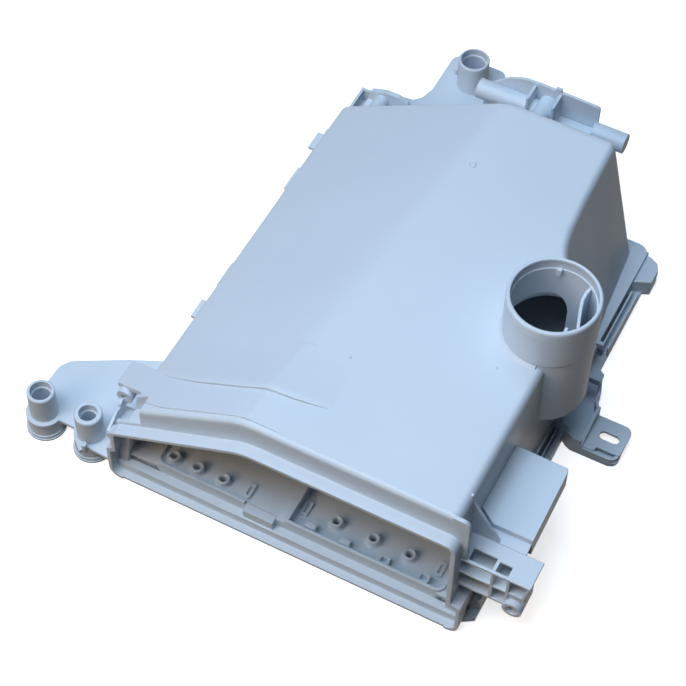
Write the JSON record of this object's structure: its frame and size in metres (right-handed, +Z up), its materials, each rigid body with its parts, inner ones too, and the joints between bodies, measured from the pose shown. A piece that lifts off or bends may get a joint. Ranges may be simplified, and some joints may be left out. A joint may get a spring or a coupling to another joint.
{
  "type": "detergent drawer housing",
  "caption": "Moulded housing that takes a washing machine's detergent drawer, with a wide mouth, water nozzles, hose ports and an outlet spout.",
  "frame": {"origin": "on the channel cover's underside, below the middle of the mouth's width and 150 mm behind the lip's front edge", "axes": "+Y from the mouth to the back, +X to the right seen from the mouth, +Z up along the spout"},
  "size_m": [0.3385, 0.4024, 0.1465],
  "materials": {
    "hopper_plastic": "satin",
    "plate_plastic": "satin",
    "cover_plastic": "satin"
  },
  "bodies": {
    "root": {"hopper": "hopper_plastic", "water_plate": "plate_plastic", "channel_cover": "cover_plastic"}
  },
  "joints": []
}
